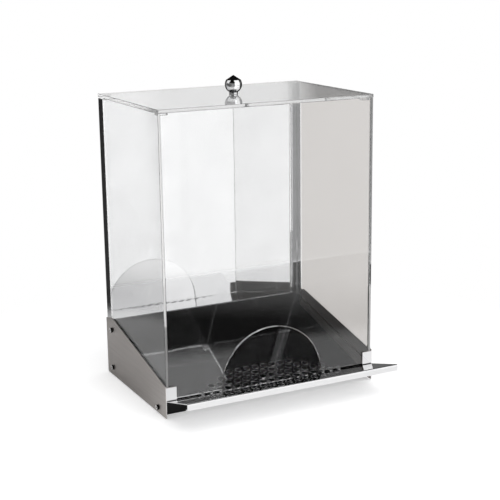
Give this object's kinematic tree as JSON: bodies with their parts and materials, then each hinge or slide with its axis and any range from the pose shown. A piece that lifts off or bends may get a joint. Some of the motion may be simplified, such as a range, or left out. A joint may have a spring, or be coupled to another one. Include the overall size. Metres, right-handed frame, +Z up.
{
  "type": "countertop bread display bin",
  "caption": "Clear box with a half-round serving arch on a folded stainless frame, with sloping perforated chute, front tray, lift-off lid with ball knob and pull-out crumb drawer.",
  "frame": {"origin": "on the counter, under the middle of the bounding box", "axes": "+Z up, the serving arch and tray face -Y, X across the bin"},
  "size_m": [0.3582, 0.315, 0.4795],
  "materials": {
    "left_bracket": "fine satin",
    "right_bracket": "fine satin",
    "back_panel": "mirror polished stainless",
    "base_plate": "mill finish",
    "chute_tray": "mirror polished stainless",
    "bracket_screws": "bright plated",
    "bracket_nuts": "bright plated",
    "feet": "matt",
    "left_runner": "mill finish",
    "right_runner": "mill finish",
    "drawer_stop": "mill finish",
    "drawer_pan": "mill finish",
    "drawer_fascia": "fine texture",
    "fascia_rivets": "bright plated",
    "hood_front": "clear, polished edges",
    "hood_left": "clear, polished edges",
    "hood_right": "clear, polished edges",
    "lid_plate": "clear, polished edges",
    "lid_locators": "clear, polished edges",
    "knob": "polished",
    "knob_collar": "polished",
    "knob_washer": "bright plated",
    "knob_screw": "bright plated"
  },
  "bodies": {
    "frame": {"left_bracket": "left_bracket", "right_bracket": "right_bracket", "back_panel": "back_panel", "base_plate": "base_plate", "chute_tray": "chute_tray", "bracket_screws": "bracket_screws", "bracket_nuts": "bracket_nuts", "feet": "feet", "left_runner": "left_runner", "right_runner": "right_runner", "drawer_stop": "drawer_stop"},
    "hood": {"hood_front": "hood_front", "hood_left": "hood_left", "hood_right": "hood_right"},
    "lid": {"lid_plate": "lid_plate", "lid_locators": "lid_locators", "knob": "knob", "knob_collar": "knob_collar", "knob_washer": "knob_washer", "knob_screw": "knob_screw"},
    "drawer": {"drawer_pan": "drawer_pan", "drawer_fascia": "drawer_fascia", "fascia_rivets": "fascia_rivets"}
  },
  "joints": [
    {"name": "hood_lift", "type": "slide", "parent": "frame", "child": "hood", "axis": [0, 0, 1], "range_m": [0, 0.42]},
    {"name": "lid_lift", "type": "slide", "parent": "hood", "child": "lid", "axis": [0, 0, 1], "range_m": [0, 0.15]},
    {"name": "drawer_slide", "type": "slide", "parent": "frame", "child": "drawer", "axis": [0, -1, 0], "range_m": [0, 0.185]}
  ]
}
